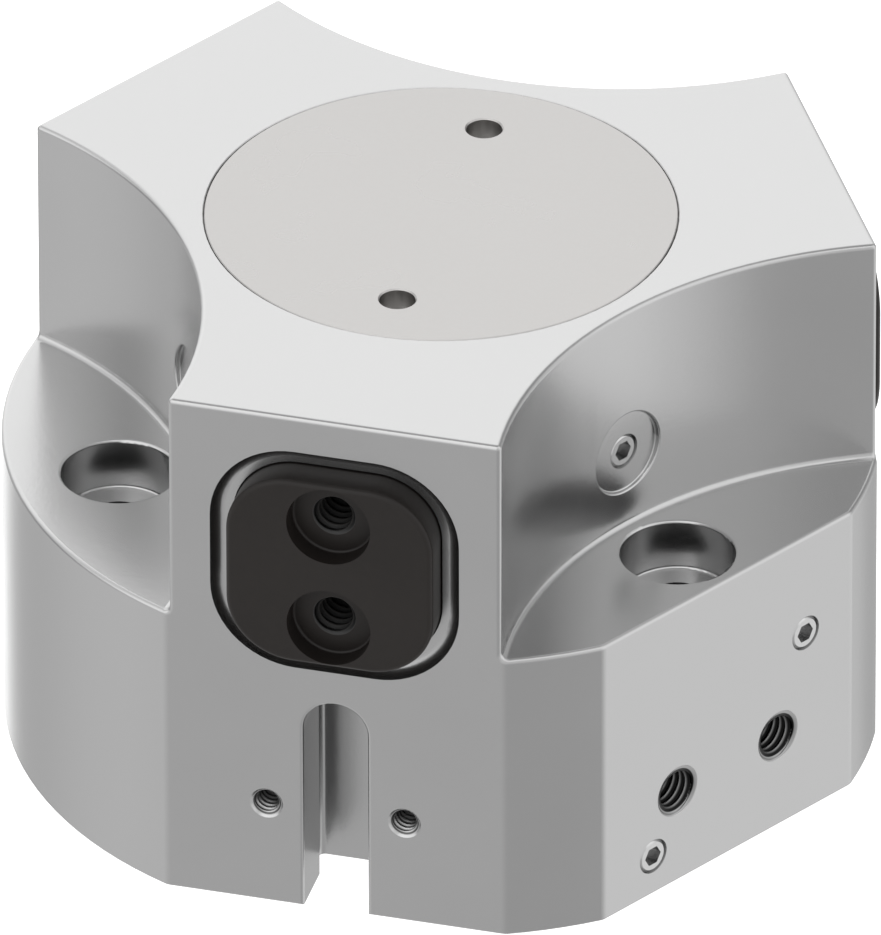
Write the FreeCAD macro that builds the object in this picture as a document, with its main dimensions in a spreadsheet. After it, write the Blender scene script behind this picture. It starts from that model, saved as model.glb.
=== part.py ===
import FreeCAD, Part
import math
import os

import Sketcher
from FreeCAD import Placement, Rotation, Vector

# ---------------------------------------------------------------------------
# Three-jaw gripper, millimetres.
#
# Origin: centre of the flat underside.  +Z: along the body's axis, from the
# underside to the top cap.  The front jaw points along -Y, the right jaw
# along azimuth +30 degrees and the left jaw along azimuth +150 degrees.
# The three scooped pockets lie between them, at -30, +90 and +210 degrees.
# It is modelled with the jaws open, as they stand at the end of their travel.
# ---------------------------------------------------------------------------

DOC = FreeCAD.newDocument("three_jaw_gripper")
SHEET = DOC.addObject("Spreadsheet::Sheet", "Params")
SHEET.Label = "Params"


class Q:
    """A size that carries its number and the sheet formula it comes from."""

    def __init__(self, number, text):
        self.v = float(number)
        self.t = text

    @staticmethod
    def of(x):
        if isinstance(x, Q):
            return x
        return Q(x, "(%.9f)" % float(x))

    def __add__(self, o):
        o = Q.of(o)
        return Q(self.v + o.v, "(%s + %s)" % (self.t, o.t))

    def __radd__(self, o):
        return Q.of(o) + self

    def __sub__(self, o):
        o = Q.of(o)
        return Q(self.v - o.v, "(%s - %s)" % (self.t, o.t))

    def __rsub__(self, o):
        return Q.of(o) - self

    def __mul__(self, o):
        o = Q.of(o)
        return Q(self.v * o.v, "(%s * %s)" % (self.t, o.t))

    def __rmul__(self, o):
        return Q.of(o) * self

    def __truediv__(self, o):
        o = Q.of(o)
        return Q(self.v / o.v, "(%s / %s)" % (self.t, o.t))

    def __neg__(self):
        return Q(-self.v, "(0 - %s)" % self.t)


_row = [0]


def cell(alias, number):
    """One driving dimension: its name in column A, its number in column B."""
    _row[0] += 1
    SHEET.set("A%d" % _row[0], alias)
    SHEET.set("B%d" % _row[0], "%.6f" % number)
    SHEET.setAlias("B%d" % _row[0], alias)
    return Q(number, "Params." + alias)


# body
body_radius = cell("body_radius", 46.5)
body_height = cell("body_height", 60.7)
flat_dist = cell("flat_dist", 42.7)
edge_round = cell("edge_round", 1.5)
outer_edge = cell("outer_edge", 0.5)
base_chamfer = cell("base_chamfer", 0.15)
ledge_height = cell("ledge_height", 34.3)
scoop_centre = cell("scoop_centre", 73.85)
scoop_radius = cell("scoop_radius", 46.25)
scoop_fillet = cell("scoop_fillet", 0.7)

# jaw openings and jaws
jaw_height = cell("jaw_height", 43.1)
recess_width = cell("recess_width", 27.0)
recess_tall = cell("recess_tall", 26.8)
recess_corner = cell("recess_corner", 9.2)
recess_depth = cell("recess_depth", 1.35)
recess_cove = cell("recess_cove", 1.3)
guide_size = cell("guide_size", 22.7)
guide_corner = cell("guide_corner", 7.25)
guide_inner = cell("guide_inner", 12.0)
jaw_size = cell("jaw_size", 22.4)
jaw_corner = cell("jaw_corner", 7.1)
jaw_face = cell("jaw_face", 45.1)
jaw_tail = cell("jaw_tail", 12.5)
jaw_edge = cell("jaw_edge", 0.6)
jaw_holes = cell("jaw_holes", 12.5)
jaw_bore_radius = cell("jaw_bore_radius", 4.55)
jaw_bore_depth = cell("jaw_bore_depth", 2.4)
jaw_tap_radius = cell("jaw_tap_radius", 2.25)
jaw_tap_depth = cell("jaw_tap_depth", 12.0)

# sensor slots and the tapped holes beside them
slot_width = cell("slot_width", 7.0)
slot_arch = cell("slot_arch", 22.2)
slot_depth = cell("slot_depth", 10.2)
slot_neck = cell("slot_neck", 6.3)
slot_wide = cell("slot_wide", 9.0)
slot_edge = cell("slot_edge", 0.4)
slot_cove = cell("slot_cove", 0.7)
side_tap_offset = cell("side_tap_offset", 7.5)
side_tap_height = cell("side_tap_height", 12.2)
side_tap_radius = cell("side_tap_radius", 1.45)
side_tap_depth = cell("side_tap_depth", 6.5)
side_tap_chamfer = cell("side_tap_chamfer", 0.35)

# mounting holes in the ledges
mount_circle = cell("mount_circle", 35.2)
mount_bore_radius = cell("mount_bore_radius", 6.05)
mount_bore_depth = cell("mount_bore_depth", 5.85)
mount_edge = cell("mount_edge", 0.35)
mount_hole_radius = cell("mount_hole_radius", 3.2)

# pocket plugs
spot_radius = cell("spot_radius", 4.7)
spot_height = cell("spot_height", 43.25)
spot_floor = cell("spot_floor", 27.2)
spot_edge = cell("spot_edge", 0.2)
spot_cove = cell("spot_cove", 0.15)
plug_radius = cell("plug_radius", 2.0)
plug_screw_radius = cell("plug_screw_radius", 1.975)
plug_screw_length = cell("plug_screw_length", 4.6)
plug_screw_edge = cell("plug_screw_edge", 0.35)
plug_socket = cell("plug_socket", 1.1547)
plug_socket_depth = cell("plug_socket_depth", 2.0)

# ports and channels on the port flat
port_offset = cell("port_offset", 7.5)
port_height = cell("port_height", 11.25)
port_radius = cell("port_radius", 2.5)
port_depth = cell("port_depth", 8.0)
port_chamfer = cell("port_chamfer", 0.45)
low_plug_offset = cell("low_plug_offset", -11.1)
low_plug_height = cell("low_plug_height", 4.7)
high_plug_offset = cell("high_plug_offset", 11.6)
high_plug_height = cell("high_plug_height", 22.3)
channel_radius = cell("channel_radius", 0.8)
crossing_radius = cell("crossing_radius", 0.6)
channel_plane = cell("channel_plane", 35.6)

# cylinder, partition and cap
bore_radius = cell("bore_radius", 25.0)
chamber_floor = cell("chamber_floor", 3.8)
chamber_top = cell("chamber_top", 23.6)
cover_radius = cell("cover_radius", 27.0)
clip_low = cell("clip_low", 0.4)
clip_high = cell("clip_high", 1.6)
clip_groove = cell("clip_groove", 28.2)
rod_radius = cell("rod_radius", 8.0)
rod_hole = cell("rod_hole", 8.15)
cavity_floor = cell("cavity_floor", 31.4)
cavity_radius = cell("cavity_radius", 20.0)
cap_seat = cell("cap_seat", 57.7)
cap_hole = cell("cap_hole", 25.05)
cap_radius = cell("cap_radius", 24.97)
cap_pin_circle = cell("cap_pin_circle", 17.45)
cap_pin_radius = cell("cap_pin_radius", 1.9)
cap_pin_depth = cell("cap_pin_depth", 2.2)

# piston and wedge driver, at the top of their travel
piston_low = cell("piston_low", 16.4)
piston_high = cell("piston_high", 23.4)
piston_radius = cell("piston_radius", 24.85)
driver_low = cell("driver_low", 42.1)
driver_high = cell("driver_high", 55.0)
driver_radius = cell("driver_radius", 18.5)
wedge_top = cell("wedge_top", 7.5)
wedge_slope = cell("wedge_slope", 0.6)
rail_neck = cell("rail_neck", 8.0)
rail_head = cell("rail_head", 12.0)
rail_lip = cell("rail_lip", 2.6)
rail_out = cell("rail_out", 6.0)
rail_gap = cell("rail_gap", 0.25)

DOC.recompute()

SIN60 = math.sin(math.radians(60))
ROOT = {}


# ---------------------------------------------------------------------------
# sketch and feature helpers
# ---------------------------------------------------------------------------

def bind(obj, prop, size):
    size = Q.of(size)
    try:
        setattr(obj, prop, size.v)
    except Exception:
        pass
    if "Params." in size.t:
        obj.setExpression(prop, size.t)


def origin_part(body, role):
    for f in body.Origin.OriginFeatures:
        if f.Role == role:
            return f
    raise RuntimeError("no origin feature " + role)


def new_body(label):
    body = DOC.addObject("PartDesign::Body", label)
    body.Label = label
    ROOT[label] = body
    return body


def sketch_on_z(body, name, height, turn=0.0):
    """A sketch parallel to the base, at a height, turned about the axis."""
    sk = body.newObject("Sketcher::SketchObject", name)
    sk.AttachmentSupport = [(origin_part(body, "XY_Plane"), "")]
    sk.MapMode = "FlatFace"
    height = Q.of(height)
    sk.AttachmentOffset = Placement(Vector(0, 0, height.v),
                                    Rotation(Vector(0, 0, 1), turn))
    if "Params." in height.t:
        sk.setExpression("AttachmentOffset.Base.z", height.t)
    return sk


def sketch_on_side(body, name, dist, turn=0.0):
    """A sketch facing outward at a distance from the axis.

    With turn 0 it faces -Y; x runs to the right as seen from outside and y
    runs up.  turn swings it about the body's axis.
    """
    sk = body.newObject("Sketcher::SketchObject", name)
    sk.AttachmentSupport = [(origin_part(body, "XZ_Plane"), "")]
    sk.MapMode = "FlatFace"
    dist = Q.of(dist)
    sx, cx = math.sin(math.radians(turn)), math.cos(math.radians(turn))
    sk.AttachmentOffset = Placement(Vector(dist.v * sx, 0, dist.v * cx),
                                    Rotation(Vector(0, 1, 0), turn))
    if "Params." in dist.t:
        if abs(sx) > 1e-9:
            sk.setExpression("AttachmentOffset.Base.x", (dist * sx).t)
        sk.setExpression("AttachmentOffset.Base.z", (dist * cx).t)
    return sk


def sketch_on_yz(body, name):
    """A sketch in the front jaw's radial plane: x is +Y, y is +Z."""
    sk = body.newObject("Sketcher::SketchObject", name)
    sk.AttachmentSupport = [(origin_part(body, "YZ_Plane"), "")]
    sk.MapMode = "FlatFace"
    return sk


def sketch_on_xz(body, name):
    """A sketch for turned shapes: x is the radius, y is +Z."""
    return sketch_on_side(body, name, 0.0)


def constrain(sk, kind, *args):
    return sk.addConstraint(Sketcher.Constraint(kind, *args))


def driven(sk, kind, args, size):
    i = constrain(sk, kind, *(list(args) + [size.v]))
    if "Params." in size.t:
        sk.setExpression("Constraints[%d]" % i, size.t)


def place_point(sk, geo, pos, x, y):
    driven(sk, "DistanceX", (-1, 1, geo, pos), Q.of(x))
    driven(sk, "DistanceY", (-1, 1, geo, pos), Q.of(y))


def polygon(sk, points):
    pts = [(Q.of(x), Q.of(y)) for x, y in points]
    n = len(pts)
    ids = []
    for i in range(n):
        a, b = pts[i], pts[(i + 1) % n]
        ids.append(sk.addGeometry(Part.LineSegment(
            Vector(a[0].v, a[1].v, 0), Vector(b[0].v, b[1].v, 0)), False))
    for i in range(n):
        constrain(sk, "Coincident", ids[i], 2, ids[(i + 1) % n], 1)
    for i in range(n):
        place_point(sk, ids[i], 1, pts[i][0], pts[i][1])


def circle(sk, x, y, radius):
    x, y, radius = Q.of(x), Q.of(y), Q.of(radius)
    g = sk.addGeometry(Part.Circle(Vector(x.v, y.v, 0), Vector(0, 0, 1),
                                   radius.v), False)
    if abs(x.v) < 1e-9 and abs(y.v) < 1e-9:
        constrain(sk, "Coincident", g, 3, -1, 1)
    else:
        place_point(sk, g, 3, x, y)
    driven(sk, "Radius", (g,), radius)
    return g


def rounded_rect(sk, cx, cy, width, tall, corner):
    cx, cy = Q.of(cx), Q.of(cy)
    x0, x1 = cx - width / 2, cx + width / 2
    y0, y1 = cy - tall / 2, cy + tall / 2
    line_ends = [((x0 + corner, y0), (x1 - corner, y0)),
                 ((x1, y0 + corner), (x1, y1 - corner)),
                 ((x1 - corner, y1), (x0 + corner, y1)),
                 ((x0, y1 - corner), (x0, y0 + corner))]
    centres = [(x1 - corner, y0 + corner), (x1 - corner, y1 - corner),
               (x0 + corner, y1 - corner), (x0 + corner, y0 + corner)]
    lines, arcs = [], []
    for k in range(4):
        a, b = line_ends[k]
        lines.append(sk.addGeometry(Part.LineSegment(
            Vector(a[0].v, a[1].v, 0), Vector(b[0].v, b[1].v, 0)), False))
        c = centres[k]
        start = math.radians(-90 + 90 * k)
        arcs.append(sk.addGeometry(Part.ArcOfCircle(
            Part.Circle(Vector(c[0].v, c[1].v, 0), Vector(0, 0, 1), corner.v),
            start, start + math.pi / 2), False))
    for k in range(4):
        constrain(sk, "Coincident", lines[k], 2, arcs[k], 1)
        constrain(sk, "Coincident", arcs[k], 2, lines[(k + 1) % 4], 1)
    for k in range(4):
        place_point(sk, lines[k], 1, *line_ends[k][0])
        place_point(sk, lines[k], 2, *line_ends[k][1])
        driven(sk, "Radius", (arcs[k],), Q.of(corner))


def arch(sk, half, low, spring):
    """A slot with a round top: half its width, its foot, its arch's centre."""
    half, low, spring = Q.of(half), Q.of(low), Q.of(spring)
    a, b = -half, half
    foot = sk.addGeometry(Part.LineSegment(Vector(a.v, low.v, 0),
                                           Vector(b.v, low.v, 0)), False)
    right = sk.addGeometry(Part.LineSegment(Vector(b.v, low.v, 0),
                                            Vector(b.v, spring.v, 0)), False)
    top = sk.addGeometry(Part.ArcOfCircle(
        Part.Circle(Vector(0, spring.v, 0), Vector(0, 0, 1), half.v),
        0.0, math.pi), False)
    left = sk.addGeometry(Part.LineSegment(Vector(a.v, spring.v, 0),
                                           Vector(a.v, low.v, 0)), False)
    constrain(sk, "Coincident", foot, 2, right, 1)
    constrain(sk, "Coincident", right, 2, top, 1)
    constrain(sk, "Coincident", top, 2, left, 1)
    constrain(sk, "Coincident", left, 2, foot, 1)
    place_point(sk, foot, 1, a, low)
    place_point(sk, foot, 2, b, low)
    place_point(sk, right, 2, b, spring)
    place_point(sk, left, 1, a, spring)
    driven(sk, "DistanceY", (-1, 1, top, 3), spring)


def settle(body, feature, expect):
    """Recompute and make sure the feature added or removed material."""
    base = body.Tip
    body.Tip = feature
    DOC.recompute()
    if feature.Shape.isNull() or "Invalid" in feature.State \
            or "Error" in feature.State:
        raise RuntimeError("%s.%s failed" % (body.Label, feature.Name))
    before = 0.0
    if base is not None and base != feature and hasattr(base, "Shape") \
            and not base.Shape.isNull():
        before = base.Shape.Volume
    after = feature.Shape.Volume
    if expect == "more" and not after > before + 1e-6:
        raise RuntimeError("%s.%s adds nothing" % (body.Label, feature.Name))
    if expect == "less" and not after < before - 1e-6:
        raise RuntimeError("%s.%s cuts nothing" % (body.Label, feature.Name))
    return feature


def pad(body, name, sk, length, back=False, both=False):
    f = body.newObject("PartDesign::Pad", name)
    base = body.Tip
    f.Profile = sk
    bind(f, "Length", length)
    f.Reversed = back
    if both:
        f.SideType = "Symmetric"
    return settle(body, f, "any")


def pocket(body, name, sk, length, back=False, both=False):
    before = body.Tip.Shape.Volume
    f = body.newObject("PartDesign::Pocket", name)
    f.Profile = sk
    bind(f, "Length", length)
    f.Reversed = back
    if both:
        f.SideType = "Symmetric"
    settle(body, f, "any")
    if not f.Shape.Volume < before - 1e-6:
        raise RuntimeError("%s.%s cuts nothing" % (body.Label, name))
    return f


def turned(body, name, points=None, sk=None):
    if sk is None:
        sk = sketch_on_xz(body, name + "Sketch")
        polygon(sk, points)
    f = body.newObject("PartDesign::Revolution", name)
    f.Profile = sk
    f.ReferenceAxis = (sk, ["V_Axis"])
    f.Angle = 360.0
    return settle(body, f, "any")


def groove(body, name, points):
    before = body.Tip.Shape.Volume
    sk = sketch_on_xz(body, name + "Sketch")
    polygon(sk, points)
    f = body.newObject("PartDesign::Groove", name)
    f.Profile = sk
    f.ReferenceAxis = (sk, ["V_Axis"])
    f.Angle = 360.0
    settle(body, f, "any")
    if not f.Shape.Volume < before - 1e-6:
        raise RuntimeError("%s.%s cuts nothing" % (body.Label, name))
    return f


def three(body, name, features, count=3):
    f = body.newObject("PartDesign::PolarPattern", name)
    f.Originals = features
    f.Axis = (origin_part(body, "Z_Axis"), [""])
    f.Angle = 360.0
    f.Occurrences = count
    return settle(body, f, "any")


def dress(body, kind, name, size, pick):
    base = body.Tip
    edges = ["Edge%d" % (i + 1) for i, e in enumerate(base.Shape.Edges)
             if not e.Degenerated and pick(e)]
    if not edges:
        raise RuntimeError("%s.%s finds no edge" % (body.Label, name))
    f = body.newObject("PartDesign::" + kind, name)
    f.Base = (base, edges)
    bind(f, "Radius" if kind == "Fillet" else "Size", size)
    settle(body, f, "any")
    if not f.Shape.isValid():
        raise RuntimeError("%s.%s is not valid" % (body.Label, name))
    return f


def samples(edge):
    a, b = edge.ParameterRange
    return [edge.valueAt(a + (b - a) * t) for t in (0.02, 0.35, 0.65, 0.98)]


def all_at(edge, fn, value, tol=0.02):
    return all(abs(fn(p) - value) < tol for p in samples(edge))


def height_of(p):
    return p.z


def radius_of(p):
    return math.hypot(p.x, p.y)


def along(azimuth):
    c, s = math.cos(math.radians(azimuth)), math.sin(math.radians(azimuth))
    return lambda p: p.x * c + p.y * s


JAW_AZIMUTHS = (-90.0, 30.0, 150.0)
POCKET_AZIMUTHS = (-30.0, 90.0, 210.0)


def wedge(height):
    """Distance of the driver's slanted faces from the axis at a height."""
    return wedge_top + wedge_slope * (driver_high - height)


# ---------------------------------------------------------------------------
# housing: one machined aluminium piece
# ---------------------------------------------------------------------------

H = new_body("housing")

sk = sketch_on_z(H, "OutlineSketch", 0.0)
circle(sk, 0, 0, body_radius)
pad(H, "Blank", sk, body_height)


def flat_cut(name, turn):
    s = sketch_on_z(H, name + "Sketch", 0.0, turn)
    polygon(s, [(-30, -flat_dist), (30, -flat_dist),
                (30, -(flat_dist + 20)), (-30, -(flat_dist + 20))])
    return pocket(H, name, s, body_height, back=True)


f = flat_cut("JawFlat", 0.0)
three(H, "JawFlats", [f])
flat_cut("PortFlat", 60.0)

dress(H, "Fillet", "EdgeRounds", edge_round,
      lambda e: all_at(e, radius_of, body_radius.v)
      and abs(e.valueAt(e.FirstParameter).z - e.valueAt(e.LastParameter).z)
      > 30)

# scooped pockets above the ledges, each a vertical concave cylinder
sk = sketch_on_z(H, "ScoopSketch", ledge_height)
circle(sk, scoop_centre * SIN60, scoop_centre * -0.5, scoop_radius)
f = pocket(H, "Scoop", sk, body_height - ledge_height + 2, back=True)
three(H, "Scoops", [f])


def is_scoop_root(e):
    if not all_at(e, height_of, ledge_height.v):
        return False
    for az in POCKET_AZIMUTHS:
        cx = scoop_centre.v * math.cos(math.radians(az))
        cy = scoop_centre.v * math.sin(math.radians(az))
        if all(abs(math.hypot(p.x - cx, p.y - cy) - scoop_radius.v) < 0.02
               for p in samples(e)):
            return True
    return False


def is_outer_edge(e):
    """The top outline, the ledges' outer edges and the scoops' side edges."""
    if all_at(e, height_of, body_height.v):
        return True
    if all_at(e, height_of, ledge_height.v):
        return all(radius_of(p) > 41 for p in samples(e))
    pts = samples(e)
    if pts[-1].z - pts[0].z > -20 and pts[0].z - pts[-1].z > -20:
        return False
    for az in POCKET_AZIMUTHS:
        cx = scoop_centre.v * math.cos(math.radians(az))
        cy = scoop_centre.v * math.sin(math.radians(az))
        if all(abs(math.hypot(p.x - cx, p.y - cy) - scoop_radius.v) < 0.02
               for p in pts):
            return True
    return False


dress(H, "Fillet", "ScoopRoots", scoop_fillet, is_scoop_root)
dress(H, "Fillet", "OuterEdges", outer_edge, is_outer_edge)
dress(H, "Chamfer", "BaseEdges", base_chamfer,
      lambda e: all_at(e, height_of, 0.0))

# cylinder bore, partition and driver cavity, turned in one profile
groove(H, "Core", [
    (0, -1), (cover_radius, -1), (cover_radius, clip_low),
    (clip_groove, clip_low), (clip_groove, clip_high),
    (cover_radius, clip_high), (cover_radius, chamber_floor),
    (bore_radius, chamber_floor), (bore_radius, chamber_top),
    (rod_hole, chamber_top), (rod_hole, chamber_top + 0.8),
    (11.2, chamber_top + 0.8), (11.2, chamber_top + 3.6),
    (rod_hole, chamber_top + 3.6), (rod_hole, chamber_top + 3.8),
    (10.0, chamber_top + 3.8), (10.0, cavity_floor),
    (cavity_radius, cavity_floor), (cavity_radius, cap_seat),
    (21.4, cap_seat), (21.4, cap_seat - 1.2), (23.2, cap_seat - 1.2),
    (23.2, cap_seat), (cap_hole, cap_seat), (cap_hole, body_height - 0.1),
    (cap_hole + 0.1, body_height), (cap_hole + 0.1, body_height + 1),
    (0, body_height + 1)])

# shallow recess with a coved floor round each jaw
sk = sketch_on_side(H, "RecessSketch", flat_dist)
rounded_rect(sk, 0.0, jaw_height, recess_width, recess_tall, recess_corner)
f = pocket(H, "Recess", sk, recess_depth)
three(H, "Recesses", [f])


def is_recess_floor(e):
    for az in JAW_AZIMUTHS:
        if all_at(e, along(az), flat_dist.v - recess_depth.v, 0.005):
            return True
    return False


dress(H, "Fillet", "RecessCoves", recess_cove, is_recess_floor)

# guide openings that the jaws slide in
sk = sketch_on_side(H, "GuideSketch", flat_dist - recess_depth)
rounded_rect(sk, 0.0, jaw_height, guide_size, guide_size, guide_corner)
g1 = pocket(H, "Guide", sk, flat_dist - recess_depth - guide_inner)

# sensor slots, open at the base: a neck with a round top, wider at the back
sk = sketch_on_side(H, "SlotSketch", flat_dist)
arch(sk, slot_width / 2, -1.0, slot_arch)
g2 = pocket(H, "Slot", sk, slot_depth)
sk = sketch_on_side(H, "SlotBackSketch", flat_dist - slot_neck)
arch(sk, slot_wide / 2, -1.0, slot_arch)
g3 = pocket(H, "SlotBack", sk, slot_depth - slot_neck)

# a small tapped hole on each side of the slot
sk = sketch_on_side(H, "SideTapSketch", flat_dist)
circle(sk, side_tap_offset, side_tap_height, side_tap_radius)
circle(sk, -side_tap_offset, side_tap_height, side_tap_radius)
g4 = pocket(H, "SideTaps", sk, side_tap_depth)
three(H, "JawSides", [g1, g2, g3, g4])


def is_mouth(azimuths, dist, radius):
    def pick(e):
        c = e.Curve
        if not isinstance(c, Part.Circle) or abs(c.Radius - radius) > 0.01:
            return False
        return any(all_at(e, along(az), dist, 0.01) for az in azimuths)
    return pick


dress(H, "Chamfer", "SideTapMouths", side_tap_chamfer,
      is_mouth(JAW_AZIMUTHS, flat_dist.v, side_tap_radius.v))


def in_slot(dist, half):
    """Edges of a slot's outline at a distance from the axis, foot left out."""
    def pick(e):
        pts = samples(e)
        if max(p.z for p in pts) > slot_arch.v + half + 0.1:
            return False
        if max(p.z for p in pts) < 1.0:
            return False
        for az in JAW_AZIMUTHS:
            if all_at(e, along(az), dist, 0.01):
                across = along(az + 90.0)
                return all(abs(across(p)) < half + 0.05 for p in pts)
        return False
    return pick


dress(H, "Fillet", "SlotCoves", slot_cove,
      in_slot(flat_dist.v - slot_depth.v, slot_wide.v / 2))
dress(H, "Fillet", "SlotMouths", slot_edge,
      in_slot(flat_dist.v, slot_width.v / 2))

# mounting holes through the ledges: a wide bore and the screw hole below it
mx, my = mount_circle * SIN60, mount_circle * -0.5
sk = sketch_on_z(H, "MountBoreSketch", ledge_height)
circle(sk, mx, my, mount_bore_radius)
h1 = pocket(H, "MountBore", sk, mount_bore_depth)
sk = sketch_on_z(H, "MountHoleSketch", ledge_height)
circle(sk, mx, my, mount_hole_radius)
h2 = pocket(H, "MountHole", sk, ledge_height + 1)

# spot face and plug hole in each pocket wall, leading to the driver cavity
sk = sketch_on_side(H, "SpotSketch", 46.0, 60.0)
circle(sk, 0, spot_height, spot_radius)
h3 = pocket(H, "Spot", sk, 46.0 - spot_floor)
sk = sketch_on_side(H, "PlugHoleSketch", spot_floor, 60.0)
circle(sk, 0, spot_height, plug_radius)
h4 = pocket(H, "PlugHole", sk, 5.2)
sk = sketch_on_side(H, "GreaseHoleSketch", spot_floor, 60.0)
circle(sk, 0, spot_height, 1.25)
h5 = pocket(H, "GreaseHole", sk, 9.0)
three(H, "PocketSides", [h1, h2, h3, h4, h5])


def is_spot_rim(e):
    pts = samples(e)
    if any(abs(p.z - spot_height.v) > spot_radius.v + 0.05 for p in pts):
        return False
    for az in POCKET_AZIMUTHS:
        across, out = along(az + 90.0), along(az)
        if all(abs(math.hypot(across(p), p.z - spot_height.v)
                   - spot_radius.v) < 0.02 and out(p) > spot_floor.v + 0.2
               for p in pts) and e.Length > 1.0:
            return True
    return False


dress(H, "Fillet", "SpotRims", spot_edge, is_spot_rim)
dress(H, "Fillet", "SpotFloors", spot_cove,
      is_mouth(POCKET_AZIMUTHS, spot_floor.v, spot_radius.v))
dress(H, "Fillet", "MountBoreFloors", mount_edge,
      lambda e: all_at(e, height_of, ledge_height.v - mount_bore_depth.v)
      and isinstance(e.Curve, Part.Circle)
      and abs(e.Curve.Radius - mount_bore_radius.v) < 0.01)
dress(H, "Fillet", "MountBoreMouths", mount_edge,
      lambda e: all_at(e, height_of, ledge_height.v)
      and isinstance(e.Curve, Part.Circle)
      and abs(e.Curve.Radius - mount_bore_radius.v) < 0.01)

# air ports and the plugged channels that lead to the two cylinder chambers
sk = sketch_on_side(H, "PortSketch", flat_dist, 60.0)
circle(sk, port_offset, port_height, port_radius)
circle(sk, -port_offset, port_height, port_radius)
pocket(H, "Ports", sk, port_depth)
dress(H, "Chamfer", "PortMouths", port_chamfer,
      is_mouth((-30.0,), flat_dist.v, port_radius.v))
sk = sketch_on_side(H, "ChannelPlugSketch", flat_dist, 60.0)
circle(sk, low_plug_offset, low_plug_height, plug_radius)
circle(sk, high_plug_offset, high_plug_height, plug_radius)
pocket(H, "ChannelPlugs", sk, 5.2)
sk = sketch_on_side(H, "ChannelSketch", flat_dist - 5.2, 60.0)
circle(sk, low_plug_offset, low_plug_height, channel_radius)
circle(sk, high_plug_offset, high_plug_height, channel_radius)
pocket(H, "Channels", sk, flat_dist - 5.2 - 21.0)


def crossing(name, u0, z0, u1, z1):
    """A drilled passage in the channel plane, between two points of it."""
    du, dz = u1.v - u0.v, z1.v - z0.v
    length = math.hypot(du, dz)
    c60, s60 = 0.5, SIN60
    # outward normal of the port flat, and the direction to its right
    nx, ny = s60, -c60
    rx, ry = c60, s60
    base = Vector(channel_plane.v * nx + u0.v * rx,
                  channel_plane.v * ny + u0.v * ry, z0.v)
    way = Vector(du / length * rx, du / length * ry, dz / length)
    f = H.newObject("PartDesign::SubtractiveCylinder", name)
    f.AttachmentSupport = [(origin_part(H, "XY_Plane"), "")]
    f.MapMode = "FlatFace"
    f.AttachmentOffset = Placement(base, Rotation(Vector(0, 0, 1), way))
    bind(f, "Radius", crossing_radius)
    f.Height = length
    return settle(H, f, "any")


crossing("LowCrossing", -port_offset, port_height, low_plug_offset,
         low_plug_height)
crossing("HighCrossing", port_offset, port_height, high_plug_offset,
         high_plug_height)

# ---------------------------------------------------------------------------
# top cap with two pin holes, and the seal under it
# ---------------------------------------------------------------------------

B = new_body("top_cap")
turned(B, "Disc", [
    (0, cap_seat - 1.2), (cavity_radius - 0.3, cap_seat - 1.2),
    (cavity_radius - 0.3, cap_seat), (cap_radius, cap_seat),
    (cap_radius, body_height - 0.1), (cap_radius - 0.1, body_height),
    (0, body_height)])
sk = sketch_on_z(B, "PinHoleSketch", body_height)
circle(sk, 0, cap_pin_circle, cap_pin_radius)
circle(sk, 0, -cap_pin_circle, cap_pin_radius)
pocket(B, "PinHoles", sk, cap_pin_depth)
dress(B, "Chamfer", "PinHoleMouths", 0.15,
      lambda e: all_at(e, height_of, body_height.v)
      and isinstance(e.Curve, Part.Circle) and e.Curve.Radius < 3)


def ring_seal(label, ring, thick, height):
    t = DOC.addObject("Part::Torus", label)
    t.Label = label
    bind(t, "Radius1", ring)
    bind(t, "Radius2", thick)
    t.Placement = Placement(Vector(0, 0, Q.of(height).v), Rotation())
    t.setExpression("Placement.Base.z", Q.of(height).t)
    ROOT[label] = t
    return t


ring_seal("cap_seal", cell("cap_seal_ring", 22.3),
          cell("cap_seal_thick", 0.58), cap_seat - 0.6)

# ---------------------------------------------------------------------------
# partition: bush and lip seal round the piston rod
# ---------------------------------------------------------------------------

B = new_body("rod_bush")
turned(B, "Ring", [
    (rod_radius + 0.06, chamber_top + 3.8), (10.0, chamber_top + 3.8),
    (10.0, cavity_floor), (rod_radius + 0.4, cavity_floor),
    (rod_radius + 0.06, cavity_floor - 0.4)])

B = new_body("rod_seal")
turned(B, "Ring", [
    (rod_radius + 0.09, chamber_top + 1.0),
    (rod_radius + 0.7, chamber_top + 0.85), (9.3, chamber_top + 1.9),
    (10.2, chamber_top + 1.9), (10.7, chamber_top + 0.85),
    (11.15, chamber_top + 1.0), (11.15, chamber_top + 3.5),
    (rod_radius + 0.12, chamber_top + 3.5)])

# ---------------------------------------------------------------------------
# base cover of the cylinder, its seal, its retaining ring and its bumper
# ---------------------------------------------------------------------------

B = new_body("base_cover")
turned(B, "Disc", [
    (0, clip_high), (cover_radius - 0.4, clip_high),
    (cover_radius - 0.1, clip_high + 0.3), (cover_radius - 0.1, 2.1),
    (25.8, 2.1), (25.8, 3.3), (cover_radius - 0.1, 3.3),
    (cover_radius - 0.1, chamber_floor), (23.5, chamber_floor),
    (23.5, 5.8), (23.3, 6.0), (19.2, 6.0), (19.2, 4.8), (16.0, 4.8),
    (16.0, 6.0), (0, 6.0)])
sk = sketch_on_z(B, "PullHoleSketch", clip_high)
circle(sk, 0, 0, 1.65)
pocket(B, "PullHole", sk, 3.2, back=True)
dress(B, "Chamfer", "PullHoleMouth", 0.35,
      lambda e: all_at(e, height_of, clip_high.v)
      and isinstance(e.Curve, Part.Circle) and e.Curve.Radius < 3)

ring_seal("base_cover_seal", cell("cover_seal_ring", 26.4),
          cell("cover_seal_thick", 0.54), cell("cover_seal_height", 2.7))

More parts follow.
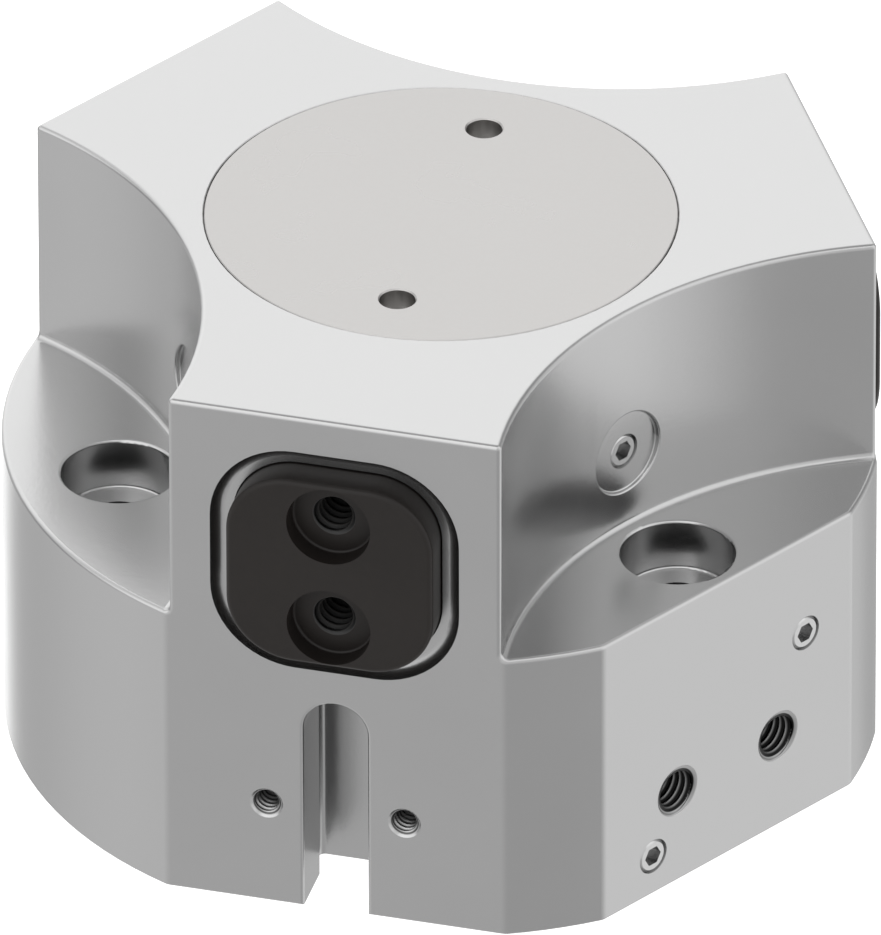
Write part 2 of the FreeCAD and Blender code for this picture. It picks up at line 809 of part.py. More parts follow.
B = new_body("base_bumper")
turned(B, "Ring", [
    (16.1, 4.85), (19.1, 4.85), (19.1, 5.9), (18.6, 6.25), (16.6, 6.25),
    (16.1, 5.9)])

B = new_body("base_retaining_ring")
sk = sketch_on_z(B, "RingSketch", clip_low + 0.05)
circle(sk, 0, 0, 28.05)
circle(sk, 0, 0, 25.3)
pad(B, "Ring", sk, clip_high - clip_low - 0.1)
sk = sketch_on_z(B, "EarSketch", clip_low + 0.05)
circle(sk, -4.6, 24.3, 1.9)
pad(B, "LeftEar", sk, clip_high - clip_low - 0.1)
sk = sketch_on_z(B, "EarTwoSketch", clip_low + 0.05)
circle(sk, 4.6, 24.3, 1.9)
pad(B, "RightEar", sk, clip_high - clip_low - 0.1)
sk = sketch_on_z(B, "GapSketch", 0.0)
polygon(sk, [(-2.8, 21), (2.8, 21), (2.8, 30), (-2.8, 30)])
pocket(B, "Gap", sk, 3.0, back=True)
sk = sketch_on_z(B, "EarHoleSketch", 0.0)
circle(sk, -4.7, 24.1, 0.75)
circle(sk, 4.7, 24.1, 0.75)
pocket(B, "EarHoles", sk, 3.0, back=True)

# ---------------------------------------------------------------------------
# piston with its rod, seal, guide ring and magnet
# ---------------------------------------------------------------------------

B = new_body("piston")
turned(B, "Turned", [
    (0, piston_low), (15.4, piston_low), (15.4, piston_low + 2.7),
    (21.1, piston_low + 2.7), (21.1, piston_low),
    (piston_radius - 0.3, piston_low), (piston_radius, piston_low + 0.3),
    (piston_radius, piston_low + 0.55), (23.8, piston_low + 0.55),
    (23.8, piston_low + 2.55), (piston_radius, piston_low + 2.55),
    (piston_radius, piston_low + 3.5), (22.3, piston_low + 3.5),
    (22.3, piston_low + 6.1), (piston_radius, piston_low + 6.1),
    (piston_radius, piston_high - 0.2), (piston_radius - 0.2, piston_high),
    (rod_radius, piston_high), (rod_radius, driver_low),
    (5.5, driver_low), (5.5, driver_low + 1.6), (5.1, driver_low + 2.0),
    (2.55, driver_low + 2.0), (2.55, 28.0), (0, 26.5)])

B = new_body("piston_seal")
turned(B, "Ring", [
    (22.4, piston_low + 3.6), (24.5, piston_low + 3.6),
    (24.92, piston_low + 4.1), (24.92, piston_low + 5.5),
    (24.5, piston_low + 6.0), (22.4, piston_low + 6.0)])

B = new_body("piston_guide_ring")
turned(B, "Ring", [
    (23.85, piston_low + 0.6), (24.92, piston_low + 0.6),
    (24.92, piston_low + 2.5), (23.85, piston_low + 2.5)])

B = new_body("magnet_ring")
turned(B, "Ring", [
    (15.5, piston_low + 0.1), (21.0, piston_low + 0.1),
    (21.0, piston_low + 2.65), (15.5, piston_low + 2.65)])

# ---------------------------------------------------------------------------
# wedge driver: a block with three slanted faces, a T-rail on each
# ---------------------------------------------------------------------------

D = new_body("wedge_driver")
sk = sketch_on_z(D, "BlockSketch", driver_low)
circle(sk, 0, 0, driver_radius)
pad(D, "Block", sk, driver_high - driver_low)


def slanted(sk, inner, outer, low, high):
    """A strip along the slanted face, between two offsets from it."""
    polygon(sk, [(-(wedge(low) + inner), low), (-(wedge(low) + outer), low),
                 (-(wedge(high) + outer), high),
                 (-(wedge(high) + inner), high)])


sk = sketch_on_yz(D, "FaceSketch")
slanted(sk, 0.0, 30.0, driver_low - 1, driver_high + 1)
f = pocket(D, "Face", sk, 70.0, both=True)
three(D, "Faces", [f])
sk = sketch_on_yz(D, "RailNeckSketch")
slanted(sk, -1.0, rail_lip + 0.2, driver_low, driver_high)
f1 = pad(D, "RailNeck", sk, rail_neck, both=True)
sk = sketch_on_yz(D, "RailHeadSketch")
slanted(sk, rail_lip, rail_out, driver_low, driver_high)
f2 = pad(D, "RailHead", sk, rail_head, both=True)
three(D, "Rails", [f1, f2])
groove(D, "ScrewBore", [
    (0, driver_low - 1), (5.6, driver_low - 1), (5.6, driver_low + 2.1),
    (3.3, driver_low + 2.1), (3.3, driver_high - 6.7),
    (5.6, driver_high - 6.7), (5.6, driver_high + 1), (0, driver_high + 1)])

B = new_body("driver_washer")
turned(B, "Ring", [
    (3.2, driver_high - 6.7), (5.3, driver_high - 6.7),
    (5.3, driver_high - 6.1), (3.2, driver_high - 6.1)])

B = new_body("driver_screw")
turned(B, "Turned", [
    (0, 30.0), (2.1, 30.0), (2.5, 30.4), (2.5, driver_high - 6.1),
    (5.0, driver_high - 6.1), (5.0, driver_high - 0.5),
    (4.6, driver_high - 0.1), (0, driver_high - 0.1)])
sk = sketch_on_z(B, "SocketSketch", driver_high - 0.1)
hexr = 5.0 / math.sqrt(3.0)
polygon(sk, [(hexr * math.cos(math.radians(60 * k)),
              hexr * math.sin(math.radians(60 * k))) for k in range(6)])
pocket(B, "Socket", sk, 3.0)

# ---------------------------------------------------------------------------
# base jaws: rounded-square bars with a slanted T-slot at the inner end
# ---------------------------------------------------------------------------


def base_jaw(label, turn):
    J = new_body(label)
    s = sketch_on_side(J, "SectionSketch", jaw_face)
    rounded_rect(s, 0.0, jaw_height, jaw_size, jaw_size, jaw_corner)
    pad(J, "Bar", s, jaw_face - jaw_tail, back=True)
    dress(J, "Fillet", "FaceEdges", jaw_edge,
          lambda e: all_at(e, along(-90.0), jaw_face.v, 0.005))
    low, high = jaw_height - jaw_size / 2 - 1, jaw_height + jaw_size / 2 + 1
    s = sketch_on_yz(J, "HeelSketch")
    polygon(s, [(-(wedge(low) + rail_gap), low),
                (-(wedge(high) + rail_gap), high), (8, high), (8, low)])
    pocket(J, "Heel", s, 40.0, both=True)
    s = sketch_on_yz(J, "SlotNeckSketch")
    slanted(s, 0.0, rail_lip, low, high)
    pocket(J, "SlotNeck", s, rail_neck + 0.5, both=True)
    s = sketch_on_yz(J, "SlotHeadSketch")
    slanted(s, rail_lip - rail_gap, rail_out + rail_gap, low, high)
    pocket(J, "SlotHead", s, rail_head + 0.5, both=True)
    # nose bevels, so that the three jaws clear each other when closed
    s = sketch_on_z(J, "NoseSketch", low)
    reach = jaw_tail + 2.0
    edge0 = (jaw_tail - 0.5 - 6.6) / 0.57735
    edge1 = (reach - 6.6) / 0.57735
    polygon(s, [(edge0, -(jaw_tail - 0.5)), (edge1, -reach),
                (edge1 + 3, -reach), (edge1 + 3, -(jaw_tail - 0.5))])
    pocket(J, "NoseRight", s, high - low, back=True)
    s = sketch_on_z(J, "NoseLeftSketch", low)
    polygon(s, [(-edge0, -(jaw_tail - 0.5)), (-edge1, -reach),
                (-(edge1 + 3), -reach), (-(edge1 + 3), -(jaw_tail - 0.5))])
    pocket(J, "NoseLeft", s, high - low, back=True)
    # two counterbored finger screw holes
    s = sketch_on_side(J, "BoreSketch", jaw_face)
    circle(s, 0, jaw_height + jaw_holes / 2, jaw_bore_radius)
    circle(s, 0, jaw_height - jaw_holes / 2, jaw_bore_radius)
    pocket(J, "Bores", s, jaw_bore_depth)
    s = sketch_on_side(J, "TapSketch", jaw_face)
    circle(s, 0, jaw_height + jaw_holes / 2, jaw_tap_radius)
    circle(s, 0, jaw_height - jaw_holes / 2, jaw_tap_radius)
    pocket(J, "Taps", s, jaw_tap_depth)
    dress(J, "Fillet", "BoreFloors", 0.3,
          is_mouth((-90.0,), jaw_face.v - jaw_bore_depth.v,
                   jaw_bore_radius.v))
    dress(J, "Chamfer", "TapMouths", 0.12,
          is_mouth((-90.0,), jaw_face.v - jaw_bore_depth.v,
                   jaw_tap_radius.v))
    J.Placement = Placement(Vector(0, 0, 0),
                            Rotation(Vector(0, 0, 1), turn))
    return J


base_jaw("base_jaw_front", 0.0)
base_jaw("base_jaw_right", 120.0)
base_jaw("base_jaw_left", 240.0)

# ---------------------------------------------------------------------------
# hexagon-socket plug screws
# ---------------------------------------------------------------------------


def plug_screw(name, azimuth, offset, height, face):
    """One plug screw, its outer face at a distance from the body's axis."""
    offset, height, face = Q.of(offset), Q.of(height), Q.of(face)
    c, s = math.cos(math.radians(azimuth)), math.sin(math.radians(azimuth))
    turn = Rotation(Vector(0, 0, 1), Vector(c, s, 0))

    def put(obj, dist):
        obj.Placement = Placement(
            Vector(dist.v * c - offset.v * s, dist.v * s + offset.v * c,
                   height.v), turn)
        obj.setExpression("Placement.Base.x", (dist * c - offset * s).t)
        obj.setExpression("Placement.Base.y", (dist * s + offset * c).t)
        if "Params." in height.t:
            obj.setExpression("Placement.Base.z", height.t)

    rod = DOC.addObject("Part::Cylinder", name + "_rod")
    bind(rod, "Radius", plug_screw_radius)
    bind(rod, "Height", plug_screw_length)
    put(rod, face - plug_screw_length)
    DOC.recompute()
    rims = []
    for i, e in enumerate(rod.Shape.Edges):
        if isinstance(e.Curve, Part.Circle):
            rims.append((i + 1, plug_screw_edge.v, plug_screw_edge.v))
    edged = DOC.addObject("Part::Chamfer", name + "_edged")
    edged.Base = rod
    edged.Edges = rims
    key = DOC.addObject("Part::Prism", name + "_key")
    key.Polygon = 6
    bind(key, "Circumradius", plug_socket)
    bind(key, "Height", plug_socket_depth + 1)
    put(key, face - plug_socket_depth)
    cut = DOC.addObject("Part::Cut", name)
    cut.Base = edged
    cut.Tool = key
    return cut


def group(label, members):
    c = DOC.addObject("Part::Compound", label)
    c.Label = label
    c.Links = members
    ROOT[label] = c


group("channel_plug_screws", [
    plug_screw("channel_plug_low", -30.0, low_plug_offset, low_plug_height,
               flat_dist - 0.05),
    plug_screw("channel_plug_high", -30.0, high_plug_offset,
               high_plug_height, flat_dist - 0.05)])
group("pocket_plug_screws", [
    plug_screw("pocket_plug_%d" % k, az, 0.0, spot_height, spot_floor - 0.1)
    for k, az in enumerate(POCKET_AZIMUTHS)])

# ---------------------------------------------------------------------------
# check every object, then write one file for each sub-part
# ---------------------------------------------------------------------------

DOC.recompute()
for obj in DOC.Objects:
    if "Invalid" in obj.State or "Error" in obj.State:
        raise RuntimeError("%s is in state %s" % (obj.Label, obj.State))
for label, obj in ROOT.items():
    if obj.Shape.isNull() or not obj.Shape.isValid():
        raise RuntimeError("%s has no valid shape" % label)
    if not obj.Shape.Solids:
        raise RuntimeError("%s has no solid" % label)

os.makedirs("parts", exist_ok=True)
total = 0.0
for label, obj in ROOT.items():
    obj.Shape.exportStep("parts/%s.step" % label)
    box = obj.Shape.BoundBox
    total += obj.Shape.Volume
    print("%-22s solids %d volume %9.1f  x %7.2f %7.2f  y %7.2f %7.2f  "
          "z %6.2f %6.2f" % (label, len(obj.Shape.Solids), obj.Shape.Volume,
                             box.XMin, box.XMax, box.YMin, box.YMax,
                             box.ZMin, box.ZMax))
print("nodes %d, volume %.1f" % (len(ROOT), total))
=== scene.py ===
import math

import bmesh
import bpy
from mathutils import Matrix, Vector


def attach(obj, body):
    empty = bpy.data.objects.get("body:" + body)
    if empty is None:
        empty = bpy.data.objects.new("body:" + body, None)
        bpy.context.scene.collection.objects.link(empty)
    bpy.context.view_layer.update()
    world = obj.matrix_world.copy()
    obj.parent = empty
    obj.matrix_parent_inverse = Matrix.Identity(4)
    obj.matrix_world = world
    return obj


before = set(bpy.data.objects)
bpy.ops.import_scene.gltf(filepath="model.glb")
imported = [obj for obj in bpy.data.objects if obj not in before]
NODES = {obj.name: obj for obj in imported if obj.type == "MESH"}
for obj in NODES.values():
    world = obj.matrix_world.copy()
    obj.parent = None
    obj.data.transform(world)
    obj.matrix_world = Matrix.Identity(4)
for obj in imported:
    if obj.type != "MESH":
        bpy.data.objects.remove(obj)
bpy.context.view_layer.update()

scene = bpy.context.scene
MM = 0.001

# ---------------------------------------------------------------------------
# camera: a long lens, 15 degrees to the right of the front jaw, looking down
# ---------------------------------------------------------------------------

WIDE, TALL = 881.0, 935.0
ELEVATION = math.radians(32.602)
ROLL = math.radians(-0.128)
SWING = math.radians(15.244)
PX = 9.5                                  # pixels per millimetre
NEAR = 2.861e-05                          # one over the distance in pixels
SHIFT_X, SHIFT_Y = 0.47, 254.38           # pixels
TOP = 60.7 * MM                           # height of the top face


def turned(v, angle):
    return Matrix.Rotation(angle, 3, "Z") @ Vector(v)


def make_camera():
    s, c = math.sin(ELEVATION), math.cos(ELEVATION)
    right0, up0 = Vector((1, 0, 0)), Vector((0, s, c))
    ahead = Vector((0, c, -s))
    right = math.cos(ROLL) * right0 + math.sin(ROLL) * up0
    up = -math.sin(ROLL) * right0 + math.cos(ROLL) * up0
    place = (-SHIFT_X * right - SHIFT_Y * up - ahead / NEAR) * (MM / PX)
    right, up, ahead = (turned(v, SWING) for v in (right, up, ahead))
    place = turned(place, SWING) + Vector((0, 0, TOP))
    data = bpy.data.cameras.new("camera")
    data.sensor_fit = "AUTO"
    data.sensor_width = 36.0
    data.lens = 36.0 / TALL / NEAR
    data.clip_start, data.clip_end = 0.1, 20.0
    cam = bpy.data.objects.new("camera", data)
    scene.collection.objects.link(cam)
    m = Matrix.Identity(4)
    for i in range(3):
        m[i][0], m[i][1], m[i][2], m[i][3] = right[i], up[i], -ahead[i], place[i]
    cam.matrix_world = m
    scene.camera = cam


make_camera()

# ---------------------------------------------------------------------------
# light: a studio surround and a plain white floor
# ---------------------------------------------------------------------------

scene.view_settings.view_transform = "Standard"
scene.view_settings.look = "None"

# Strength of the surround by azimuth, in degrees from the camera's right
# (-90 is towards the camera, 90 is behind the object).  LOW is the band 20
# degrees or more below the horizon, EVEN the band at the horizon, MID the one
# 15 to 40 degrees above it, UPPER the one 50 to 65 degrees above it, and
# ZENITH is straight overhead.
LOW = [(-180, 0.86), (-166, 0.83), (-120, 0.67), (-80, 0.565), (-45, 0.565),
       (-22, 0.89), (-2, 1.085), (38, 1.05), (46, 0.90), (54, 0.72),
       (62, 0.50), (72, 0.55), (82, 1.0), (92, 1.70), (104, 1.75),
       (114, 1.00), (122, 0.62), (140, 0.68), (160, 0.81), (180, 0.86)]
EVEN = [(-180, 0.70), (-150, 0.90), (-118, 1.05), (-90, 0.80), (-60, 0.80),
        (-30, 1.10), (-10, 1.25), (20, 0.90), (40, 0.70), (60, 0.60),
        (90, 1.40), (110, 1.45), (130, 0.90), (150, 0.42), (165, 0.38),
        (180, 0.70)]
MID = [(-180, 1.45), (-160, 1.50), (-120, 1.50), (-90, 0.95), (-70, 0.80),
       (-56, 1.00), (-42, 1.22), (-10, 1.36), (8, 1.25), (24, 0.85),
       (36, 0.45), (48, 0.36), (60, 0.60), (74, 1.25), (90, 1.60),
       (120, 1.58), (135, 1.40), (150, 0.95), (160, 0.82), (172, 1.20)]
UPPER = [(-180, 1.20), (-150, 1.55), (-120, 1.65), (-90, 1.60), (-55, 1.35),
         (-20, 1.20), (10, 1.05), (35, 0.70), (60, 0.66), (95, 0.95),
         (140, 0.90), (180, 1.20)]
ZENITH = 0.42


def nodes_of(tree):
    tree.nodes.clear()
    return tree.nodes, tree.links


def math_node(nodes, links, op, a, b=None, c=None, clamp=False):
    n = nodes.new("ShaderNodeMath")
    n.operation = op
    n.use_clamp = clamp
    for i, v in enumerate((a, b, c)):
        if v is None:
            continue
        if isinstance(v, (int, float)):
            n.inputs[i].default_value = v
        else:
            links.new(v, n.inputs[i])
    return n.outputs[0]


def step_node(nodes, links, value, lo, hi):
    n = nodes.new("ShaderNodeMapRange")
    n.interpolation_type = "SMOOTHSTEP"
    n.inputs["From Min"].default_value = lo
    n.inputs["From Max"].default_value = hi
    links.new(value, n.inputs["Value"])
    return n.outputs["Result"]


def blend_node(nodes, links, fac, a, b):
    n = nodes.new("ShaderNodeMix")
    n.data_type = "FLOAT"
    links.new(fac, n.inputs["Factor"])
    for sock, v in (("A", a), ("B", b)):
        if isinstance(v, (int, float)):
            n.inputs[sock].default_value = v
        else:
            links.new(v, n.inputs[sock])
    return n.outputs["Result"]


def make_world():
    world = bpy.data.worlds.new("surround")
    scene.world = world
    world.use_nodes = True
    nodes, links = nodes_of(world.node_tree)
    out = nodes.new("ShaderNodeOutputWorld")
    back = nodes.new("ShaderNodeBackground")
    links.new(back.outputs[0], out.inputs[0])
    place = nodes.new("ShaderNodeTexCoord")

    def along(v):
        dot = nodes.new("ShaderNodeVectorMath")
        dot.operation = "DOT_PRODUCT"
        links.new(place.outputs["Generated"], dot.inputs[0])
        dot.inputs[1].default_value = v
        return dot.outputs["Value"]

    s, c = math.sin(SWING), math.cos(SWING)
    ax, ay, az = along((c, s, 0)), along((-s, c, 0)), along((0, 0, 1))
    turn = math_node(nodes, links, "ARCTAN2", ay, ax)
    turn = math_node(nodes, links, "MULTIPLY_ADD", turn, 0.5 / math.pi, 0.5)

    def band(stops):
        ramp = nodes.new("ShaderNodeValToRGB")
        links.new(turn, ramp.inputs[0])
        els = ramp.color_ramp.elements
        while len(els) < len(stops):
            els.new(0.5)
        for e, (deg, v) in zip(els, stops):
            e.position = (deg + 180.0) / 360.0
        for e, (deg, v) in zip(els, stops):
            e.color = (v / 2.0, v / 2.0, v / 2.0, 1.0)
        return math_node(nodes, links, "MULTIPLY", ramp.outputs[0], 2.0)

    even = step_node(nodes, links, az, -0.42, -0.10)
    total = blend_node(nodes, links, even, band(LOW), band(EVEN))
    mid = step_node(nodes, links, az, 0.0, 0.32)
    total = blend_node(nodes, links, mid, total, band(MID))
    upper = step_node(nodes, links, az, 0.62, 0.80)
    total = blend_node(nodes, links, upper, total, band(UPPER))
    over = step_node(nodes, links, az, 0.89, 0.97)
    total = blend_node(nodes, links, over, total, ZENITH)
    links.new(total, back.inputs["Strength"])
    back.inputs["Color"].default_value = (1.0, 1.0, 1.0, 1.0)


make_world()


def floor_material():
    mat = bpy.data.materials.new("floor")
    mat.use_nodes = True
    nodes, links = nodes_of(mat.node_tree)
    out = nodes.new("ShaderNodeOutputMaterial")
    bsdf = nodes.new("ShaderNodeBsdfPrincipled")
    links.new(bsdf.outputs[0], out.inputs[0])
    bsdf.inputs["Base Color"].default_value = (0.60, 0.60, 0.60, 1)
    bsdf.inputs["Roughness"].default_value = 0.9
    bsdf.inputs["Specular IOR Level"].default_value = 0.1
    bsdf.inputs["Emission Color"].default_value = (1, 1, 1, 1)
    bsdf.inputs["Emission Strength"].default_value = 1.0
    return mat


def make_floor():
    mesh = bpy.data.meshes.new("floor")
    s = 6.0
    mesh.from_pydata([(-s, -s, 0), (s, -s, 0), (s, s, 0), (-s, s, 0)], [],
                     [(0, 1, 2, 3)])
    floor = bpy.data.objects.new("floor", mesh)
    mesh.materials.append(floor_material())
    floor.location.z = -0.00002
    scene.collection.objects.link(floor)
    floor.visible_glossy = False


make_floor()

# ---------------------------------------------------------------------------
# materials
# ---------------------------------------------------------------------------


def metal(name, color, rough, grain=0.5, grain_size=0.25, vary=0.03,
          rough_vary=0.03, bump=0.012, metallic=1.0, blotch=12.0,
          rings=None, specular=0.5):
    """A fine-grained metal: its tone and gloss drift a little over the piece.

    grain_size is the grain's size in millimetres.  rings adds turned marks
    round the Z axis: (pitch in millimetres, strength).
    """
    mat = bpy.data.materials.new(name)
    mat.use_nodes = True
    nodes, links = nodes_of(mat.node_tree)
    out = nodes.new("ShaderNodeOutputMaterial")
    bsdf = nodes.new("ShaderNodeBsdfPrincipled")
    links.new(bsdf.outputs[0], out.inputs[0])
    bsdf.inputs["Metallic"].default_value = metallic
    bsdf.inputs["Specular IOR Level"].default_value = specular
    coord = nodes.new("ShaderNodeTexCoord")

    def noise(scale, detail=2.0, rough_=0.5):
        n = nodes.new("ShaderNodeTexNoise")
        n.inputs["Scale"].default_value = scale
        n.inputs["Detail"].default_value = detail
        n.inputs["Roughness"].default_value = rough_
        links.new(coord.outputs["Object"], n.inputs["Vector"])
        return n.outputs["Fac"]

    fine = noise(1000.0 / grain_size / 2.0, 2.0, 0.6)
    drift = noise(1000.0 / blotch, 3.0, 0.55)
    # tone
    mixed = math_node(nodes, links, "MULTIPLY", drift, 0.6)
    mixed = math_node(nodes, links, "MULTIPLY_ADD", fine, 0.4, mixed)
    ramp = nodes.new("ShaderNodeValToRGB")
    links.new(mixed, ramp.inputs[0])
    lo = [max(0.0, c * (1 - vary)) for c in color]
    hi = [min(1.0, c * (1 + vary)) for c in color]
    ramp.color_ramp.elements[0].position = 0.3
    ramp.color_ramp.elements[1].position = 0.7
    ramp.color_ramp.elements[0].color = (*lo, 1)
    ramp.color_ramp.elements[1].color = (*hi, 1)
    links.new(ramp.outputs[0], bsdf.inputs["Base Color"])
    # gloss
    r = math_node(nodes, links, "MULTIPLY_ADD", drift, rough_vary * 2,
                  rough - rough_vary)
    links.new(r, bsdf.inputs["Roughness"])
    # grain
    height = fine
    if rings:
        split = nodes.new("ShaderNodeSeparateXYZ")
        links.new(coord.outputs["Object"], split.inputs[0])
        xx = math_node(nodes, links, "MULTIPLY", split.outputs[0],
                       split.outputs[0])
        rr = math_node(nodes, links, "MULTIPLY_ADD", split.outputs[1],
                       split.outputs[1], xx)
        rad = math_node(nodes, links, "SQRT", rr)
        wob = math_node(nodes, links, "MULTIPLY_ADD", drift, 0.0002, rad)
        ph = math_node(nodes, links, "MULTIPLY", wob,
                       2 * math.pi * 1000.0 / rings[0])
        wave = math_node(nodes, links, "SINE", ph)
        height = math_node(nodes, links, "MULTIPLY_ADD", wave, rings[1],
                           fine)
    bmp = nodes.new("ShaderNodeBump")
    bmp.inputs["Strength"].default_value = grain
    bmp.inputs["Distance"].default_value = bump * MM
    links.new(height, bmp.inputs["Height"])
    links.new(bmp.outputs[0], bsdf.inputs["Normal"])
    return mat


def coated(name, color, rough, grain_size=0.4, vary=0.12, bump=0.012,
           rough_vary=0.04, specular=0.5):
    """A dark coating, plastic or rubber with a fine grain."""
    return metal(name, color, rough, grain_size=grain_size, vary=vary,
                 metallic=0.0, bump=bump, rough_vary=rough_vary,
                 specular=specular)


def threaded(name, color, groove_shade, rough, crest, root, ridge=0.6,
             metallic=1.0, peak=0.0):
    """A thread with painted shade: its grooves are painted darker than its
    ridges and its mouth.

    The thread's axis is the object's Z, crest and root are its radii in
    millimetres, ridge is the share of the height that keeps its tone, and a
    larger peak spreads the painted shade from the grooves up onto the ridges.
    """
    mat = metal(name, color, rough, vary=0.02, metallic=metallic)
    nodes, links = mat.node_tree.nodes, mat.node_tree.links
    bsdf = next(n for n in nodes if n.type == "BSDF_PRINCIPLED")
    tone = bsdf.inputs["Base Color"].links[0].from_socket
    coord = nodes.new("ShaderNodeTexCoord")
    split = nodes.new("ShaderNodeSeparateXYZ")
    links.new(coord.outputs["Object"], split.inputs[0])
    xx = math_node(nodes, links, "MULTIPLY", split.outputs[0],
                   split.outputs[0])
    rr = math_node(nodes, links, "MULTIPLY_ADD", split.outputs[1],
                   split.outputs[1], xx)
    rad = math_node(nodes, links, "SQRT", rr)
    # Painted shade: deep is 1 down in the grooves, and with peak partway up the
    # ridges, and 0 on the crests and in the mouth; there the colour is mixed
    # towards the dark groove colour, standing for the shade inside the thread.
    low = crest + (root - crest) * ridge * 0.2 - peak
    high = crest + (root - crest) * ridge
    deep = step_node(nodes, links, rad, low * MM, high * MM)
    mouth = step_node(nodes, links, rad, (root + 0.12) * MM,
                      (root + 0.02) * MM)
    deep = math_node(nodes, links, "MULTIPLY", deep, mouth)
    mix = nodes.new("ShaderNodeMix")
    mix.data_type = "RGBA"
    links.new(deep, mix.inputs["Factor"])
    # the colour sockets of a mix node share their names with its others
    a = next(s for s in mix.inputs if s.name == "A" and s.type == "RGBA")
    b = next(s for s in mix.inputs if s.name == "B" and s.type == "RGBA")
    links.new(tone, a)
    b.default_value = (*groove_shade, 1)
    result = next(s for s in mix.outputs if s.type == "RGBA")
    links.new(result, bsdf.inputs["Base Color"])
    return mat


MAT = {
    "housing": metal("body_satin", (0.50, 0.50, 0.50), 0.25, vary=0.012),
    "cap": metal("cap_satin", (0.434, 0.426, 0.418), 0.28, vary=0.015),
    "jaw": coated("jaw_dark", (0.0112, 0.0092, 0.0082), 0.40,
                  specular=0.26),
    "screw": metal("screw_steel", (0.56, 0.56, 0.56), 0.24, vary=0.04),
    "turned": metal("turned_metal", (0.60, 0.60, 0.605), 0.26,
                    rings=(0.25, 1.5)),
    "steel": metal("ground_steel", (0.40, 0.40, 0.41), 0.32, vary=0.06),
    "clip": metal("clip_steel", (0.10, 0.10, 0.105), 0.40, vary=0.15),
    "bronze": metal("bronze", (0.55, 0.38, 0.18), 0.35, vary=0.08),
    "rubber": coated("rubber", (0.015, 0.015, 0.015), 0.6),
    "plastic": coated("plastic", (0.12, 0.10, 0.08), 0.5),
    "ferrite": coated("ferrite", (0.03, 0.03, 0.032), 0.6),
    # The thread sleeves carry painted shade: their near-black groove colours
    # stand for the shade down in the threads, and the port thread's tone (0.34)
    # is painted darker than the housing's (0.50) for the shade inside its hole.
    "port_thread": threaded("port_thread", (0.34, 0.34, 0.34),
                            (0.012, 0.012, 0.012), 0.30, 2.08, 2.485,
                            ridge=0.60, peak=0.14),
    "side_thread": threaded("side_thread", (0.48, 0.48, 0.48),
                            (0.08, 0.08, 0.08), 0.28, 1.20, 1.44,
                            ridge=0.9),
    "jaw_thread": threaded("jaw_thread", (0.022, 0.021, 0.020),
                           (0.004, 0.004, 0.004), 0.45, 1.88, 2.235,
                           metallic=0.0),
}

USE = {
    "housing": "housing", "top_cap": "cap", "base_cover": "turned",
    "base_jaw_front": "jaw", "base_jaw_right": "jaw", "base_jaw_left": "jaw",
    "channel_plug_screws": "screw", "pocket_plug_screws": "screw",
    "piston": "turned", "wedge_driver": "steel", "driver_screw": "screw",
    "driver_washer": "screw", "base_retaining_ring": "clip",
    "rod_bush": "bronze", "piston_guide_ring": "plastic",
    "magnet_ring": "ferrite",
}
for name, obj in NODES.items():
    mat = MAT[USE.get(name, "rubber")]
    if not obj.material_slots:
        obj.data.materials.append(mat)
    for s in obj.material_slots:
        s.material = mat

# ---------------------------------------------------------------------------
# screw threads: a closed sleeve in each tapped hole, its inner face a helix
# ---------------------------------------------------------------------------


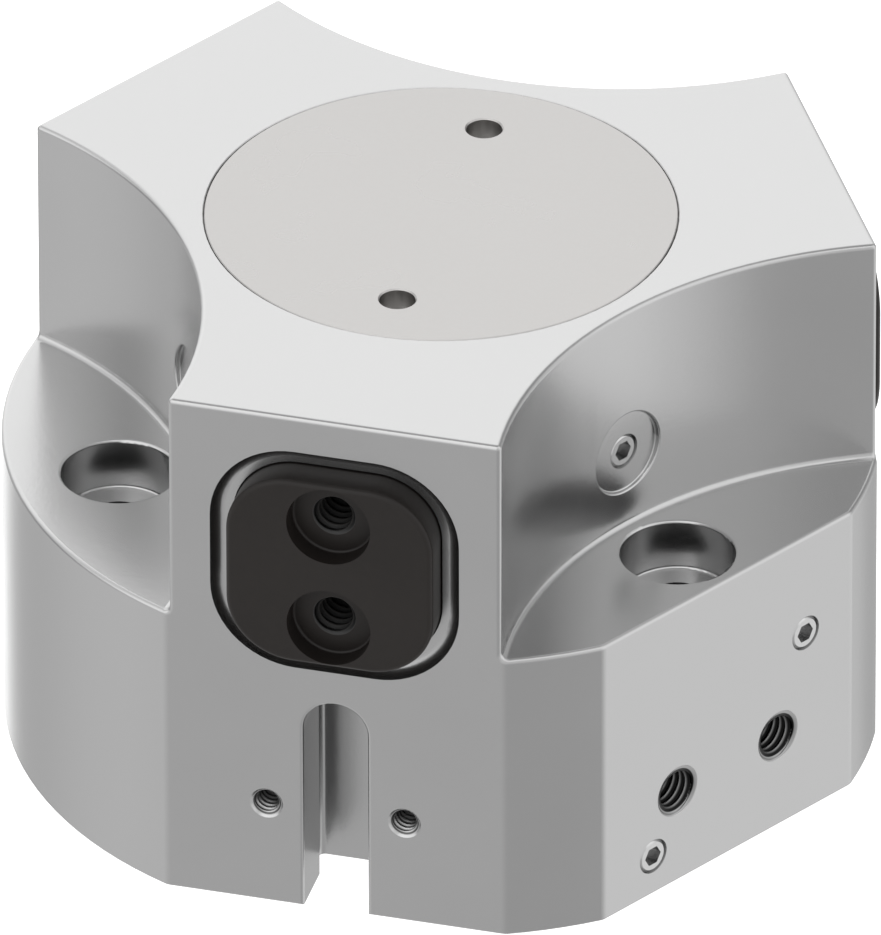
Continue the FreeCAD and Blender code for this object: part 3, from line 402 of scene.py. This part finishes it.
def thread(name, centre, axis, crest, outline, outer, pitch, length,
           around=56, per_turn=14, start=0.0):
    """A threaded sleeve, in millimetres, going in from centre along -axis.

    outline lists (depth, root radius); the ridge rises from the root to the
    crest radius and runs out at the mouth.
    """
    def root(deep):
        for (d0, r0), (d1, r1) in zip(outline, outline[1:]):
            if deep <= d1:
                return r0 + (r1 - r0) * (deep - d0) / (d1 - d0)
        return outline[-1][1]

    def ridge(phase):
        p = phase % 1.0
        if p < 0.18:
            return 0.0
        if p < 0.55:
            return (p - 0.18) / 0.37
        if p < 0.67:
            return 1.0
        return 1.0 - (p - 0.67) / 0.33

    rows = max(2, int(round(length / pitch * per_turn)))
    bm = bmesh.new()

    def ring(radii, deep):
        row = []
        for i in range(around):
            a = 2 * math.pi * i / around
            r = radii(i)
            row.append(bm.verts.new(Vector((r * math.cos(a), r * math.sin(a),
                                            -deep)) * MM))
        return row

    grid = []
    for j in range(rows + 1):
        deep = length * j / rows
        grow = min(1.0, deep / (0.35 * pitch))

        def radius(i, deep=deep, grow=grow):
            h = ridge(deep / pitch - i / around + start) * grow
            return root(deep) + (crest - root(deep)) * h

        grid.append(ring(radius, deep))
    shell = [ring(lambda i: outer, 0.0), ring(lambda i: outer, length)]
    for j in range(rows):
        for i in range(around):
            k = (i + 1) % around
            f = bm.faces.new((grid[j][i], grid[j][k],
                              grid[j + 1][k], grid[j + 1][i]))
            f.smooth = True
    for i in range(around):
        k = (i + 1) % around
        bm.faces.new((grid[0][k], grid[0][i], shell[0][i], shell[0][k]))
        bm.faces.new((grid[rows][i], grid[rows][k],
                      shell[1][k], shell[1][i]))
        f = bm.faces.new((shell[0][k], shell[0][i], shell[1][i],
                          shell[1][k]))
        f.smooth = True
    bmesh.ops.recalc_face_normals(bm, faces=bm.faces)
    mesh = bpy.data.meshes.new(name)
    bm.to_mesh(mesh)
    bm.free()
    obj = bpy.data.objects.new(name, mesh)
    scene.collection.objects.link(obj)
    turn = Vector(axis).to_track_quat("Z", "Y").to_matrix().to_4x4()
    obj.matrix_world = Matrix.Translation(Vector(centre) * MM) @ turn
    return obj


def out_of(azimuth, dist, across, height):
    """A point at a distance along an azimuth, and sideways from it."""
    a = math.radians(azimuth)
    return (dist * math.cos(a) - across * math.sin(a),
            dist * math.sin(a) + across * math.cos(a), height)


def facing(azimuth):
    a = math.radians(azimuth)
    return (math.cos(a), math.sin(a), 0.0)


for key, az in (("front", -90), ("right", 30), ("left", 150)):
    for tag, z in (("upper", 43.1 + 6.25), ("lower", 43.1 - 6.25)):
        t = thread("jaw_thread_%s_%s" % (key, tag),
                   out_of(az, 42.68, 0.0, z), facing(az), 1.88,
                   [(0.0, 2.33), (0.12, 2.235), (9.2, 2.235)], 2.7, 1.15, 9.2,
                   start=0.2)
        t.data.materials.append(MAT["jaw_thread"])
        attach(t, "jaw_" + key)
    for tag, u in (("a", -7.5), ("b", 7.5)):
        t = thread("side_thread_%s_%s" % (key, tag),
                   out_of(az, 42.48, u, 12.2), facing(az), 1.20,
                   [(0.0, 1.56), (0.13, 1.44), (5.6, 1.44)], 1.95, 0.70, 5.6,
                   around=44, start=0.1)
        t.data.materials.append(MAT["side_thread"])
        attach(t, "root")
for tag, u in (("low", -7.5), ("high", 7.5)):
    t = thread("port_thread_" + tag, out_of(-30, 42.66, u, 11.25),
               facing(-30), 2.08,
               [(0.0, 2.89), (0.41, 2.485), (7.2, 2.485)], 3.1, 0.90, 7.2,
               start=0.55)
    t.data.materials.append(MAT["port_thread"])
    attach(t, "root")
